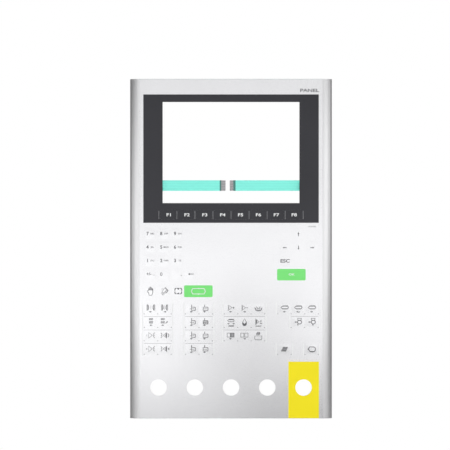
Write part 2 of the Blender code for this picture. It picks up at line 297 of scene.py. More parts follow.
def round_cutter(x, z, radius, low_y, high_y, sides=96):
    deselect_all()
    bpy.ops.mesh.primitive_cylinder_add(
        vertices=sides, radius=radius, depth=high_y - low_y,
        location=(x, (low_y + high_y) / 2, z), rotation=(UPRIGHT, 0, 0))
    return settle(bpy.context.object)


def cut(piece, cutters):
    """Take the joined cutters out of a piece."""
    cutter = join(cutters, "cutter")
    apply_modifier(piece, "BOOLEAN", operation="DIFFERENCE", solver="EXACT", object=cutter)
    bpy.data.objects.remove(cutter)


def smooth(piece, degrees=30):
    pick(piece)
    bpy.ops.object.shade_smooth_by_angle(angle=math.radians(degrees))


def moved_copy(piece, shift, name=None):
    """A copy of a piece, with a mesh of its own, moved by shift."""
    pick(piece)
    bpy.ops.object.duplicate()
    copy = bpy.context.object
    copy.name = copy.data.name = name or piece.name
    copy.location = shift
    return settle(copy)


def copy_of_node(node, name):
    """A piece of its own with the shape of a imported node, its loose triangles merged."""
    pick(frame["nodes"][node])
    bpy.ops.object.duplicate()
    piece = bpy.context.object
    piece.parent = None
    piece.matrix_world = Matrix.Identity(4)
    for key in list(piece.keys()):
        del piece[key]
    piece.name = piece.data.name = name
    edit()
    bpy.ops.mesh.select_all(action="SELECT")
    bpy.ops.mesh.remove_doubles(threshold=0.001 * MM)
    bpy.ops.mesh.dissolve_limited(angle_limit=math.radians(0.5))
    leave_edit()
    return piece


def rim_of(node, opening_names, reach):
    """Box (x low, x high, z low, z high) of a node's rim round the openings of those names."""
    boxes = [OPENINGS[name]["box_m"] for name in opening_names]
    x_low, z_low = (min(low[axis] for low, _ in boxes) - reach for axis in (0, 2))
    x_high, z_high = (max(high[axis] for _, high in boxes) + reach for axis in (0, 2))
    rim = [corner.co for corner in frame["nodes"][node].data.vertices
           if x_low < corner.co.x < x_high and z_low < corner.co.z < z_high]
    across, up = [co.x for co in rim], [co.z for co in rim]
    return min(across), max(across), min(up), max(up)


def finish_piece(piece, body, slot, finish, *replaced):
    """Give a piece its finish, the body it moves with, and the nodes it stands for, which it hides; slot is not
    used.
    """
    piece.data.materials.clear()
    piece.data.materials.append(finish)
    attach(piece, body)
    if replaced:
        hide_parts(*replaced)
    return piece


# ---------------------------------------------------------------------------------------------
# Finishes
# ---------------------------------------------------------------------------------------------

def new_finish(name, colour, roughness, metallic=0.0, specular=0.5):
    """A Principled material, its nodes and links, for a finish to add its detail to."""
    made = bpy.data.materials.get(name)
    if made:
        return made, None, None, None
    made = bpy.data.materials.new(name)
    made.use_nodes = True
    nodes, links = made.node_tree.nodes, made.node_tree.links
    shader = nodes["Principled BSDF"]
    shader.inputs["Base Color"].default_value = (*colour, 1)
    shader.inputs["Roughness"].default_value = roughness
    shader.inputs["Metallic"].default_value = metallic
    shader.inputs["Specular IOR Level"].default_value = specular
    made.diffuse_color = (*colour, 1)
    return made, nodes, links, shader


def object_pattern(nodes, links, kind, scale, stretch=(1, 1, 1), **settings):
    """A texture laid on the object's own coordinates, squeezed by stretch."""
    place = nodes.new("ShaderNodeTexCoord")
    mapping = nodes.new("ShaderNodeMapping")
    mapping.inputs["Scale"].default_value = stretch
    pattern = nodes.new(kind)
    pattern.inputs["Scale"].default_value = scale
    for key, value in settings.items():
        pattern.inputs[key].default_value = value
    links.new(place.outputs["Object"], mapping.inputs["Vector"])
    links.new(mapping.outputs["Vector"], pattern.inputs["Vector"])
    return pattern


def vary_colour(nodes, links, shader, source, colour, darker):
    """Shift the base colour between a darker and the full tone along a pattern."""
    ramp = nodes.new("ShaderNodeValToRGB")
    ramp.color_ramp.elements[0].position = 0.3
    ramp.color_ramp.elements[1].position = 0.7
    ramp.color_ramp.elements[0].color = (*(c * darker for c in colour), 1)
    ramp.color_ramp.elements[1].color = (*colour, 1)
    links.new(source, ramp.inputs["Fac"])
    links.new(ramp.outputs["Color"], shader.inputs["Base Color"])


def vary_roughness(nodes, links, shader, source, low, high):
    spread = nodes.new("ShaderNodeMapRange")
    spread.inputs["From Min"].default_value = 0.3
    spread.inputs["From Max"].default_value = 0.7
    spread.inputs["To Min"].default_value = low
    spread.inputs["To Max"].default_value = high
    links.new(source, spread.inputs["Value"])
    links.new(spread.outputs["Result"], shader.inputs["Roughness"])


def add_bump(nodes, links, shader, source, strength, height):
    bump = nodes.new("ShaderNodeBump")
    bump.inputs["Strength"].default_value = strength
    bump.inputs["Distance"].default_value = height
    links.new(source, bump.inputs["Height"])
    links.new(bump.outputs["Normal"], shader.inputs["Normal"])


def printed_film(name, colour, roughness=0.42, metallic=0.0, darker=0.97, grain=0.006 * MM,
                 specular=0.5):
    """Second-surface print under matt polyester: a fine emboss, and a faint cloud in the ink."""
    made, nodes, links, shader = new_finish(name, colour, roughness, metallic, specular)
    if nodes:
        cloud = object_pattern(nodes, links, "ShaderNodeTexNoise", 14, Detail=3)
        tooth = object_pattern(nodes, links, "ShaderNodeTexNoise", 2600, Detail=2)
        vary_colour(nodes, links, shader, cloud.outputs["Fac"], colour, darker)
        vary_roughness(nodes, links, shader, tooth.outputs["Fac"], roughness - 0.03,
                       roughness + 0.03)
        add_bump(nodes, links, shader, tooth.outputs["Fac"], 0.35, grain)
    return made


def silver_film():
    return printed_film("silver_print", bpy.context.scene.panel_colours.silver[:], 0.29, 0.85)


def satin_aluminium():
    """Extruded and blasted aluminium: faint drawing lines run up the profile."""
    colour = bpy.context.scene.panel_colours.silver[:]
    made, nodes, links, shader = new_finish("satin_aluminium", colour, 0.29, 0.85)
    if nodes:
        lines = object_pattern(nodes, links, "ShaderNodeTexNoise", 900, (1, 1, 0.012), Detail=4)
        cloud = object_pattern(nodes, links, "ShaderNodeTexNoise", 18, Detail=3)
        vary_colour(nodes, links, shader, cloud.outputs["Fac"], colour, 0.97)
        vary_roughness(nodes, links, shader, lines.outputs["Fac"], 0.26, 0.33)
        add_bump(nodes, links, shader, lines.outputs["Fac"], 0.25, 0.006 * MM)
    return made


def stud_steel():
    made, nodes, links, shader = new_finish("plated_steel", (0.72, 0.70, 0.66), 0.32, 0.9)
    if nodes:
        cloud = object_pattern(nodes, links, "ShaderNodeTexNoise", 600, Detail=3)
        vary_colour(nodes, links, shader, cloud.outputs["Fac"], (0.72, 0.70, 0.66), 0.85)
        vary_roughness(nodes, links, shader, cloud.outputs["Fac"], 0.26, 0.4)
    return made


def ink(name, colour, roughness=0.5):
    """Screen-printed ink: a slightly open, matt surface."""
    made, nodes, links, shader = new_finish(name, colour, roughness)
    if nodes:
        mesh_marks = object_pattern(nodes, links, "ShaderNodeTexNoise", 5200, Detail=2)
        vary_colour(nodes, links, shader, mesh_marks.outputs["Fac"], colour, 0.9)
        vary_roughness(nodes, links, shader, mesh_marks.outputs["Fac"], 0.45, 0.58)
        add_bump(nodes, links, shader, mesh_marks.outputs["Fac"], 0.3, 0.003 * MM)
    return made


def dark_ink():
    return ink("dark_ink", bpy.context.scene.panel_colours.dark_ink[:])


# Grey ink for painted highlights: the glints on the embossed ridges between the function keys.
def painted_glint_ink():
    return ink("painted_glint_ink", bpy.context.scene.panel_colours.painted_glint_ink[:])


def white_ink():
    return ink("white_ink", bpy.context.scene.panel_colours.white_ink[:])


def lacquered_tail():
    """Teal lacquer over printed conductors, which show as faint raised lines along the tail."""
    colour = bpy.context.scene.panel_colours.teal[:]
    made, nodes, links, shader = new_finish("tail_lacquer", colour, 0.32)
    if nodes:
        lines = object_pattern(nodes, links, "ShaderNodeTexWave", TRACE_LINES, (0, 0, 1),
                               Distortion=0.0)
        lines.wave_type = "BANDS"
        lines.bands_direction = "Z"
        cloud = object_pattern(nodes, links, "ShaderNodeTexNoise", 90, (0.15, 1, 2), Detail=3)
        mix = nodes.new("ShaderNodeMix")
        mix.data_type = "FLOAT"
        mix.inputs[0].default_value = 0.55
        links.new(lines.outputs["Fac"], mix.inputs[2])
        links.new(cloud.outputs["Fac"], mix.inputs[3])
        vary_colour(nodes, links, shader, mix.outputs[0], colour, 0.9)
        vary_roughness(nodes, links, shader, cloud.outputs["Fac"], 0.26, 0.4)
        add_bump(nodes, links, shader, lines.outputs["Fac"], 0.4, 0.02 * MM)
    return made


def carbon_print():
    made, nodes, links, shader = new_finish("carbon_print", (0.30, 0.30, 0.31), 0.6)
    if nodes:
        grains = object_pattern(nodes, links, "ShaderNodeTexNoise", 4200, Detail=4)
        vary_colour(nodes, links, shader, grains.outputs["Fac"], (0.34, 0.33, 0.34), 0.8)
        vary_roughness(nodes, links, shader, grains.outputs["Fac"], 0.5, 0.7)
        add_bump(nodes, links, shader, grains.outputs["Fac"], 0.5, 0.006 * MM)
    return made


def plain_film(name, colour, roughness, transmission=0.0, darker=0.94, scale=40):
    """Film, adhesive or moulding inside the stack: soft clouding and a fine surface."""
    made, nodes, links, shader = new_finish(name, colour, roughness)
    if nodes:
        shader.inputs["Transmission Weight"].default_value = transmission
        cloud = object_pattern(nodes, links, "ShaderNodeTexNoise", scale, Detail=4)
        tooth = object_pattern(nodes, links, "ShaderNodeTexNoise", 1800, Detail=2)
        vary_colour(nodes, links, shader, cloud.outputs["Fac"], colour, darker)
        vary_roughness(nodes, links, shader, tooth.outputs["Fac"], roughness - 0.05,
                       roughness + 0.05)
        add_bump(nodes, links, shader, tooth.outputs["Fac"], 0.3, 0.004 * MM)
    return made


# Conductors in a tail, which is a six-way one with 2.54 mm pitch.
TRACE_COUNT = 6
TRACE_PITCH = 2.54 * MM
FINGER_WIDTH = 1.6 * MM
# The bare contact end, and the strip's film over its stiffener.
BARE_LENGTH = 9.0 * MM
TAIL_FILM = 0.2 * MM
STIFFENER_GAP = 0.05 * MM
INK_LAYER = 0.03 * MM
# The bare end's film covers the strip's edges by this much.
SKIN = 0.02 * MM
# A band wave of scale 1 has its crests this many to the metre: scale it to the conductor pitch.
WAVE_CRESTS = 20 / (2 * math.pi)
TRACE_LINES = 1 / TRACE_PITCH / WAVE_CRESTS


# ---------------------------------------------------------------------------------------------
# Plate, films and keys
# ---------------------------------------------------------------------------------------------

# Weld studs: radius, length and thread pitch of each kind, and their plain ends.
STUDS = {"housing": (2.0 * MM, 12 * MM, 0.7 * MM), "display": (1.5 * MM, 9 * MM, 0.5 * MM)}
STUD_COLLAR = 1.4 * MM
STUD_TIP = 0.9 * MM
# The return flanges and side walls reach this far in from the plate's sides.
FLANGE_REACH = 17 * MM
# Cutters run this far past the faces that they cut.
PAST = 1 * MM


class PANEL_OT_front_plate(bpy.types.Operator):
    """Extruded front plate with rounded long edges, and the threads on its weld studs"""
    bl_idname = "operator_panel.front_plate"
    bl_label = "Front Plate"

    def execute(self, context):
        plate = copy_of_node("front_plate", "plate")
        smooth(plate, 25)
        apply_modifier(plate, "WEIGHTED_NORMAL", keep_sharp=True, weight=100)
        finish_piece(plate, "root", "satin_aluminium", satin_aluminium(), "front_plate")
        for kind, (radius, length, pitch) in STUDS.items():
            (first_x, first_z), *others = stud_places(radius, length)
            thread = stud_thread(radius, length, pitch)
            copies = [moved_copy(thread, (x, 0, z)) for x, z in others]
            thread.location = (first_x, 0, first_z)
            group = join([settle(thread), *copies], f"{kind}_stud_threads")
            finish_piece(group, "root", "satin_aluminium", stud_steel())
        return {"FINISHED"}


def stud_places(radius, length):
    """Middle (x, z) of each stud of one length, from the corners of its round tip."""
    tips = []
    for corner in frame["nodes"]["front_plate"].data.vertices:
        x, y, z = corner.co
        if abs(y - length) > 0.01 * MM or abs(x) > PLATE_HIGH.x - FLANGE_REACH:
            continue
        for tip in tips:
            if math.hypot(tip[0][0] - x, tip[0][1] - z) < 3 * radius:
                tip.append((x, z))
                break
        else:
            tips.append([(x, z)])
    places = []
    for tip in tips:
        across, up = zip(*tip)
        places.append(((min(across) + max(across)) / 2, (min(up) + max(up)) / 2))
    return places


def stud_thread(radius, length, pitch):
    """One thread about the Y axis: a three-sided tooth wound along the shank by a Screw."""
    deselect_all()
    bpy.ops.mesh.primitive_circle_add(
        vertices=3, radius=0.36 * pitch, fill_type="NOTHING",
        location=(radius, STUD_COLLAR, 0), rotation=(0, 0, 0))
    tooth = settle(bpy.context.object)
    turns = int((length - STUD_COLLAR - STUD_TIP) / pitch)
    apply_modifier(tooth, "SCREW", axis="Y", angle=2 * math.pi, screw_offset=pitch,
                   iterations=turns, steps=14, render_steps=14, use_merge_vertices=False,
                   merge_threshold=0.0001 * MM, use_smooth_shade=True)
    edit()
    bpy.ops.mesh.select_all(action="DESELECT")
    bpy.ops.mesh.select_non_manifold()
    bpy.ops.mesh.fill()
    bpy.ops.mesh.select_all(action="SELECT")
    bpy.ops.mesh.normals_make_consistent(inside=False)
    leave_edit()
    return tooth


class PANEL_OT_graphic_overlay(bpy.types.Operator):
    """Silver film over the whole front, with its black window border and yellow field"""
    bl_idname = "operator_panel.graphic_overlay"
    bl_label = "Graphic Overlay"

    def execute(self, context):
        film = context.scene.panel_film
        border, yellow = border_box(film), yellow_box(film)
        holes = hole_circles()

        trim = Vector((film.side_trim, 0, film.end_trim))
        silver = slab("silver_overlay", FILM_LOW - trim, FILM_HIGH + trim)
        cutters = [through_cutter(border), through_cutter(yellow)]
        cutters += [hole_cutter(hole) for hole in holes[:-1]]
        cutters += [key_cutter(node, film) for node in KEY_BODIES if node not in FUNCTION_KEYS]
        cut(silver, cutters)
        finish_piece(silver, "root", "silver_film", silver_film(), "graphic_overlay")

        black = slab("black_border", *in_film(border))
        cut(black, [through_cutter(window_box())]
            + [key_cutter(node, film) for node in FUNCTION_KEYS])
        finish_piece(black, "root", "black_film", black_film(), "graphic_overlay")

        field = slab("yellow_field", *in_film(yellow))
        cut(field, [hole_cutter(holes[-1])])
        finish_piece(field, "root", "yellow_film", yellow_film(), "graphic_overlay")
        for piece in (silver, black, field):
            smooth(piece)
        return {"FINISHED"}


def black_film():
    return printed_film("black_print", bpy.context.scene.panel_colours.black[:], 0.45,
                        darker=0.85, specular=0.3)


def yellow_film():
    return printed_film("yellow_print", bpy.context.scene.panel_colours.yellow[:], 0.5,
                        specular=0.25)


def green_film():
    return printed_film("green_print", bpy.context.scene.panel_colours.green[:], 0.5,
                        specular=0.25)


def window_box():
    return rim_of("graphic_overlay",
                  ("display_window_above_tails", "display_window_below_tails"), 3 * MM)


def border_box(film):
    x_low, x_high, z_low, z_high = window_box()
    return (x_low - film.border_reach, x_high + film.border_reach,
            z_low - film.border_foot, z_high + film.border_top)


def hole_circles():
    """Centre (x, z) and radius of each control hole, from the left."""
    circles = []
    for number in range(1, 6):
        x_low, x_high, z_low, z_high = rim_of("graphic_overlay",
                                              (f"control_hole_{number}",), 6 * MM)
        circles.append(((x_low + x_high) / 2, (z_low + z_high) / 2, (x_high - x_low) / 2))
    return circles


def yellow_box(film):
    x, z, _ = hole_circles()[-1]
    return (x - film.yellow_left, x + film.yellow_right, FILM_LOW.z - film.end_trim,
            z + film.yellow_top)


def in_film(area):
    """Corners of a box that an area (x low, x high, z low, z high) takes in the film."""
    x_low, x_high, z_low, z_high = area
    return (x_low, FILM_LOW.y, z_low), (x_high, FILM_HIGH.y, z_high)


def through_cutter(area):
    x_low, x_high, z_low, z_high = area
    if z_low <= FILM_LOW.z:
        z_low -= PAST
    return slab("cutter", (x_low, FILM_LOW.y - PAST, z_low), (x_high, FILM_HIGH.y + PAST, z_high))


def hole_cutter(hole):
    x, z, radius = hole
    return round_cutter(x, z, radius, FILM_LOW.y - PAST, FILM_HIGH.y + PAST)


def cap_box(node, lap):
    """Box of a key's visible face, without the flange that laps under the film."""
    low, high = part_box(node)
    return Vector((low.x + lap, low.y, low.z + lap)), Vector((high.x - lap, high.y, high.z - lap))


def key_cutter(node, film):
    low, high = cap_box(node, film.key_lap - film.key_gap)
    return slab("cutter", (low.x, low.y - PAST, low.z), (high.x, high.y + PAST, high.z),
                film.key_corner + film.key_gap)


class PANEL_OT_key_faces(bpy.types.Operator):
    """Embossed key faces, one for each moving key or printed row"""
    bl_idname = "operator_panel.key_faces"
    bl_label = "Key Faces"

    def execute(self, context):
        faces = {}
        for node in KEY_BODIES:
            twin = next((other for other in faces if same_face(other, node)), None)
            if twin:
                (x, z), (twin_x, twin_z) = middle_of(node), middle_of(twin)
                shift = (x - twin_x, 0, z - twin_z)
                faces[node] = moved_copy(faces[twin], shift, f"{node}_face")
            else:
                faces[node] = embossed_face(node, context.scene.panel_film)
        for node, face in faces.items():
            if node in FUNCTION_KEYS:
                finish_piece(face, node, "black_film", black_film(), node)
            elif node in GREEN_KEYS:
                finish_piece(face, node, "green_film", green_film(), node)
            else:
                finish_piece(face, node, "silver_film", silver_film(), node)
        return {"FINISHED"}


def same_face(node, other):
    """Whether two key faces have one size and one number of keys."""
    (low, high), (other_low, other_high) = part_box(node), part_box(other)
    difference = (high - low) - (other_high - other_low)
    return difference.length < 0.001 * MM and keys_in_row(node) == keys_in_row(other)


def embossed_face(node, film):
    """A key face, cut into one raised field for each of its keys."""
    low, high = cap_box(node, film.key_lap)
    face = slab(f"{node}_face", low, high, film.key_corner)
    for x in cell_centres(node)[1:]:
        edit("FACE")
        bpy.ops.mesh.select_all(action="SELECT")
        edge = x - cell_width(node) / 2
        bpy.ops.mesh.bisect(plane_co=(edge, 0, 0), plane_no=(1, 0, 0))
        leave_edit()
    select_faces(face, faces_front)
    bpy.ops.mesh.inset(thickness=film.emboss_rim, use_individual=True)
    bpy.ops.mesh.inset(thickness=film.emboss_slope, depth=film.emboss_rise, use_individual=True)
    leave_edit()
    smooth(face, 40)
    return face


def cell_width(node):
    low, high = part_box(node)
    return (high.x - low.x) / keys_in_row(node)


def cell_centres(node):
    """Middle (x) of each key on a face, from the left."""
    low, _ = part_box(node)
    width = cell_width(node)
    return [low.x + width * (n + 0.5) for n in range(keys_in_row(node))]


# ---------------------------------------------------------------------------------------------
# Legends
# ---------------------------------------------------------------------------------------------

# Line widths in millimetres, ways across a key, and the slot that each ink belongs to.
FINE, LINE, HEAVY = 0.35, 0.6, 1.1
LEFT, RIGHT = (-1, 0), (1, 0)
INK_SLOTS = {"dark_ink": "dark_ink", "painted_glint_ink": "white_ink", "white_ink": "white_ink"}


class Legend:
    """Ink drawn in millimetres about the middle of a key face, then laid on the face."""

    def __init__(self, name, body, centre, face_y, finish):
        self.name = name
        self.body = body
        self.centre = centre
        self.face_y = face_y
        self.finish = finish
        self.shift = 0.0
        self.lines = {}
        self.fills = []
        self.words = []

    def line(self, *points, width=LINE, closed=False, curved=False):
        placed = [(x + self.shift, z) for x, z in points]
        self.lines.setdefault(width, []).append((placed, closed, curved))

    def fill(self, *points, curved=False):
        self.fills.append(([(x + self.shift, z) for x, z in points], True, curved))

    def ring(self, x, z, radius, width=LINE, flat=1.0):
        self.line(*quarter_points(x, z, radius, flat), width=width, closed=True, curved=True)

    def disc(self, x, z, radius, flat=1.0):
        self.fill(*quarter_points(x, z, radius, flat), curved=True)

    def box(self, x, z, width, height, line=LINE):
        """Outline of a box about its middle."""
        self.line(*box_points(x, z, width, height), width=line, closed=True)

    def block(self, x, z, width, height):
        """Filled box about its middle."""
        self.fill(*box_points(x, z, width, height))

    def arrow(self, x, z, way, length=4.8, head=2.2, line=LINE):
        """Arrow about its middle; way is (across, up), such as (-1, 0) for left."""
        along = Vector(way).normalized()
        across = Vector((-along.y, along.x))
        middle = Vector((x, z))
        tip, tail = middle + along * length / 2, middle - along * length / 2
        root = tip - along * head
        self.line(tail, root, width=line)
        self.fill(tip, root + across * head * 0.55, root - across * head * 0.55)

    def word(self, text, x, z, size, weight=0.0, wide=1.0):
        self.words.append((text, x + self.shift, z, size, weight, wide))

    def press(self):
        """Make the drawn ink one thin piece on the key's face."""
        thickness = bpy.context.scene.panel_legends.thickness
        made = []
        for width, drawn in self.lines.items():
            curve = drawn_curve(drawn)
            width *= bpy.context.scene.panel_legends.line_weight
            curve.data.bevel_depth = width * MM / 2
            curve.data.bevel_resolution = 1
            curve.data.use_fill_caps = True
            flat = meshed(curve)
            flat.scale.z = thickness / (width * MM)
            made.append(settle(flat))
        if self.fills:
            curve = drawn_curve(self.fills)
            curve.data.dimensions = "2D"
            curve.data.fill_mode = "BOTH"
            curve.data.extrude = thickness / 2
            made.append(meshed(curve))
        for word in self.words:
            made.append(printed_word(*word, thickness))
        piece = join(made, self.name)
        piece.rotation_euler.x = UPRIGHT
        piece.location = (self.centre[0], self.face_y - thickness * 0.4, self.centre[1])
        settle(piece)
        return finish_piece(piece, self.body, INK_SLOTS[self.finish.name], self.finish)


def quarter_points(x, z, radius, flat):
    return [(x + radius, z), (x, z + radius * flat), (x - radius, z), (x, z - radius * flat)]


def box_points(x, z, width, height):
    return [(x - width / 2, z - height / 2), (x + width / 2, z - height / 2),
            (x + width / 2, z + height / 2), (x - width / 2, z + height / 2)]


def drawn_curve(strokes):
    """A curve object with one spline for each stroke, its points placed one after another."""
    deselect_all()
    bpy.ops.curve.primitive_bezier_curve_add()
    curve = bpy.context.object
    bpy.ops.object.mode_set(mode="EDIT")
    bpy.ops.curve.select_all(action="SELECT")
    bpy.ops.curve.delete(type="VERT")
    for points, _, _ in strokes:
        bpy.ops.curve.select_all(action="DESELECT")
        for x, z in points:
            bpy.ops.curve.vertex_add(location=(x * MM, z * MM, 0))
    leave_edit()
    for spline, (_, closed, curved) in zip(curve.data.splines, strokes):
        spline.use_cyclic_u = closed
        spline.resolution_u = 6 if curved else 1
        for point in spline.bezier_points:
            point.handle_left_type = point.handle_right_type = "AUTO" if curved else "VECTOR"
    return curve


def meshed(piece):
    pick(piece)
    bpy.ops.object.convert(target="MESH")
    return bpy.context.object


def printed_word(text, x, z, size, weight, wide, thickness):
    deselect_all()
    bpy.ops.object.text_add(location=(x * MM, z * MM, 0))
    word = bpy.context.object
    word.data.body = text
    word.data.size = size * MM
    word.data.align_x = "CENTER"
    word.data.align_y = "CENTER"
    word.data.offset = weight * MM
    word.data.resolution_u = 4
    word.data.extrude = thickness / 2
    word = meshed(word)
    word.scale.x = wide
    return settle(word)


def face_legend(name, node, finish):
    """A legend about the middle of a key's raised field."""
    rise = bpy.context.scene.panel_film.emboss_rise
    return Legend(name, node, middle_of(node), FILM_FRONT - rise, finish)


def film_legend(name, x, z, finish):
    """A legend about a place on the film itself."""
    return Legend(name, "root", (x, z), FILM_FRONT, finish)


def middle_of(node):
    low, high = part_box(node)
    return (low.x + high.x) / 2, (low.z + high.z) / 2


# Digit, its small letters, and how far the pair stands right of the key's own grid place.
DIGIT_KEYS = {
    "key_7": ("7", "ABC", 0.0), "key_8": ("8", "DEF", 0.4), "key_9": ("9", "GHI", 0.8),
    "key_4": ("4", "JKL", 0.0), "key_5": ("5", "MNO", 0.4), "key_6": ("6", "PQR", 0.8),
    "key_1": ("1", "STU", 0.0), "key_2": ("2", "VWX", 0.4), "key_3": ("3", "YZ", 0.8),
}


class PANEL_OT_digit_legends(bpy.types.Operator):
    """Digits with small letters, sign, zero, point and delete"""
    bl_idname = "operator_panel.digit_legends"
    bl_label = "Digit Legends"

    def execute(self, context):
        sizes = context.scene.panel_legends
        for node, (digit, letters, shift) in DIGIT_KEYS.items():
            legend = face_legend(f"{node}_digit", node, dark_ink())
            legend.word(digit, shift - 4.1, -0.2, sizes.digit_height, 0.2)
            legend.press()
            small = face_legend(f"{node}_letters", node, dark_ink())
            small.word(letters, shift + 3.4, -0.2, sizes.letter_height, 0.07)
            small.press()
        sign = face_legend("key_sign_symbol", "key_sign", dark_ink())
        sign.word("+/-", -1.9, 0, sizes.digit_height * 0.9, 0.16)
        sign.line((4.6, -0.6), (4.6, -1.8), (7.2, -1.8), (7.2, -0.6), width=FINE)
        sign.press()
        zero = face_legend("key_0_digit", "key_0", dark_ink())
        zero.ring(-3.7, -0.1, 1.35, width=0.8, flat=1.65)
        zero.press()
        point = face_legend("key_point_symbol", "key_point", dark_ink())
        point.disc(6.4, -2.0, 0.7)
        point.press()
        delete = face_legend("key_delete_symbol", "key_delete", dark_ink())
        delete.arrow(0.5, 0, LEFT, 9.2, 3.0, 0.9)
        delete.press()
        return {"FINISHED"}


class PANEL_OT_function_legends(bpy.types.Operator):
    """White function numbers, and painted highlights between them: grey lines that stand for glints on the
    embossed ridges
    """
    bl_idname = "operator_panel.function_legends"
    bl_label = "Function Legends"

    def execute(self, context):
        sizes = context.scene.panel_legends
        for number, node in enumerate(FUNCTION_KEYS, 1):
            legend = face_legend(f"{node}_number", node, white_ink())
            legend.word(f"F{number}", 2.1 - 0.27 * number, -0.5, sizes.function_height, 0.14,
                        sizes.wide)
            legend.press()
        first_x, z = middle_of(FUNCTION_KEYS[0])
        last_x, _ = middle_of(FUNCTION_KEYS[-1])
        pitch = (last_x - first_x) / (len(FUNCTION_KEYS) - 1)
        start = first_x - pitch / 2
        # Painted highlights: grey lines between the function keys, standing for the glints on their embossed
        # ridges.
        painted_glints = film_legend("function_separator_glints", 0, z, painted_glint_ink())
        for n in range(len(FUNCTION_KEYS) + 1):
            x = (start + n * pitch) / MM
            painted_glints.line((x, -7.0), (x, 6.0), width=0.4)
        painted_glints.press()
        return {"FINISHED"}


class PANEL_OT_control_legends(bpy.types.Operator):
    """Arrow, escape, confirm, manual, set-up, automatic and start key legends"""
    bl_idname = "operator_panel.control_legends"
    bl_label = "Control Legends"

    def execute(self, context):
        for name, way, x in (("up", (0, 1), 0), ("down", (0, -1), 0), ("left", LEFT, -0.5),
                             ("right", RIGHT, 0.6)):
            legend = face_legend(f"key_{name}_arrow", f"key_{name}", dark_ink())
            legend.arrow(x, -0.9, way, 6.4, 2.6, 0.95)
            legend.press()
        sizes = context.scene.panel_legends
        escape = face_legend("key_escape_word", "key_escape", dark_ink())
        escape.word("ESC", 0.1, -0.8, sizes.digit_height, 0.2, 1.25)
        escape.press()
        confirm = face_legend("key_confirm_word", "key_confirm", white_ink())
        confirm.word("OK", 0.4, 0.3, 4.6, 0.08, sizes.wide)
        confirm.press()
        for name, draw, shift in (("manual", draw_hand, 0.3), ("setup", draw_tool, 1.7),
                                  ("automatic", draw_cycle, 1.8)):
            node = f"key_{name}"
            legend = face_legend(f"{node}_symbol", node, dark_ink())
            legend.shift = shift
            draw(legend)
            legend.press()
        start = face_legend("key_start_symbol", "key_start", white_ink())
        draw_start(start)
        start.press()
        return {"FINISHED"}


def draw_hand(legend):
    """An open hand: four fingers, an outlined palm and a thumb to the left."""
    for n in range(4):
        x, top = -1.9 + n * 1.55, (5.0, 6.6, 6.4, 4.8)[n]
        legend.line((x, 1.2), (x, top), width=0.95)
    legend.line((-2.6, 3.8), (-2.7, 0.4), (-4.7, 0.6), (-4.7, -0.6), (-2.6, -3.0), (-1.9, -6.6),
                (2.2, -6.6), (3.8, -2.4), (3.7, 3.6), width=0.8)


def draw_tool(legend):
    """A long square-ended tool that leans to the right, its upper end marked."""
    legend.line((-5.2, -3.8), (-2.6, -6.6), (5.4, 0.6), (1.0, 5.6), (-2.0, 2.6), closed=True,
                width=0.6)
    legend.line((-4.0, -5.2), (3.4, 1.6), width=0.7)
    legend.line((-3.6, -1.8), (-1.6, -3.8), width=0.6)
    legend.line((0.6, 5.2), (5.2, 0.6), (1.6, -3.0), width=1.2)
    legend.line((-4.6, 1.0), (-4.4, 3.0), (-2.6, 4.6), width=FINE)


def draw_cycle(legend):
    """A rounded loop in four parts, with a filled pointer at the top and one at the foot."""
    for across in (-1, 1):
        for up in (-1, 1):
            legend.line((across * 2.9, up * 4.3), (across * 4.4, up * 4.0),
                        (across * 5.2, up * 2.6), (across * 5.2, up * 0.6), curved=True,
                        width=1.2)
    legend.fill((-2.3, 4.8), (2.3, 4.8), (0.6, 2.2), (-0.6, 2.2))
    legend.fill((-2.3, -4.8), (2.3, -4.8), (0.6, -2.6), (-0.6, -2.6))


def draw_start(legend):
    """A wide loop with cut corners and a small pointer in the middle of each run."""
    legend.line((-8.8, 4.2), (8.8, 4.2), (9.9, 2.2), (11.0, 0), (9.9, -2.2), (8.8, -4.2),
                (-8.8, -4.2), (-9.9, -2.2), (-11.0, 0), (-9.9, 2.2), closed=True, width=1.1)
    legend.fill((-1.6, 4.0), (1.6, 4.0), (0, 5.8))
    legend.fill((-1.6, -4.0), (1.6, -4.0), (0, -5.8))


class PANEL_OT_row_legends(bpy.types.Operator):
    """Machine symbols on the keys that stand in rows, and the painted highlights, painted shade and marks round
    each row
    """
    bl_idname = "operator_panel.row_legends"
    bl_label = "Row Legends"

    def execute(self, context):
        for node in ROW_FACES + FRAMED_SINGLES:
            legend = face_legend(f"{node}_symbols", node, dark_ink())
            middle = legend.centre[0]
            for x, (draw, *values) in zip(cell_centres(node), ROW_DRAWINGS[node]):
                legend.shift = (x - middle) / MM
                draw(legend, *values)
            legend.press()
            draw_row_frame(node)
        return {"FINISHED"}


def draw_row_frame(node):
    """Painted highlights beside a row, white bars on the film outside the moving face that stand for
    the light on its embossed rims, a dark mark at the foot of each key, and a fine line of painted
    shade over a row that stands under another one, for the shaded top slope of its emboss."""
    low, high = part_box(node)
    half = (high.x - low.x) / 2 / MM
    top = (high.z - low.z) / 2 / MM
    # White bars beside the row: painted highlights on its embossed rims.
    painted_glints = film_legend(f"{node}_side_highlights", *middle_of(node), white_ink())
    for side in (-1, 1):
        painted_glints.block(side * (half + 2.0), -0.8, 1.3, 2 * top + 3.0)
    painted_glints.press()
    # Dark marks at the foot of each key, and the line of painted shade over a lower row.
    marks_and_shade = film_legend(f"{node}_marks", *middle_of(node), dark_ink())
    count = keys_in_row(node)
    for n in range(count + 1):
        marks_and_shade.block((half - 0.4) * (2 * n / count - 1), -top - 0.45, 1.5, 0.9)
    # Painted shade: a fine dark line over a lower row, for the shaded top slope of its emboss.
    if node in LOWER_ROWS:
        marks_and_shade.line((-half, top + 0.2), (half, top + 0.2), width=0.28)
    marks_and_shade.press()


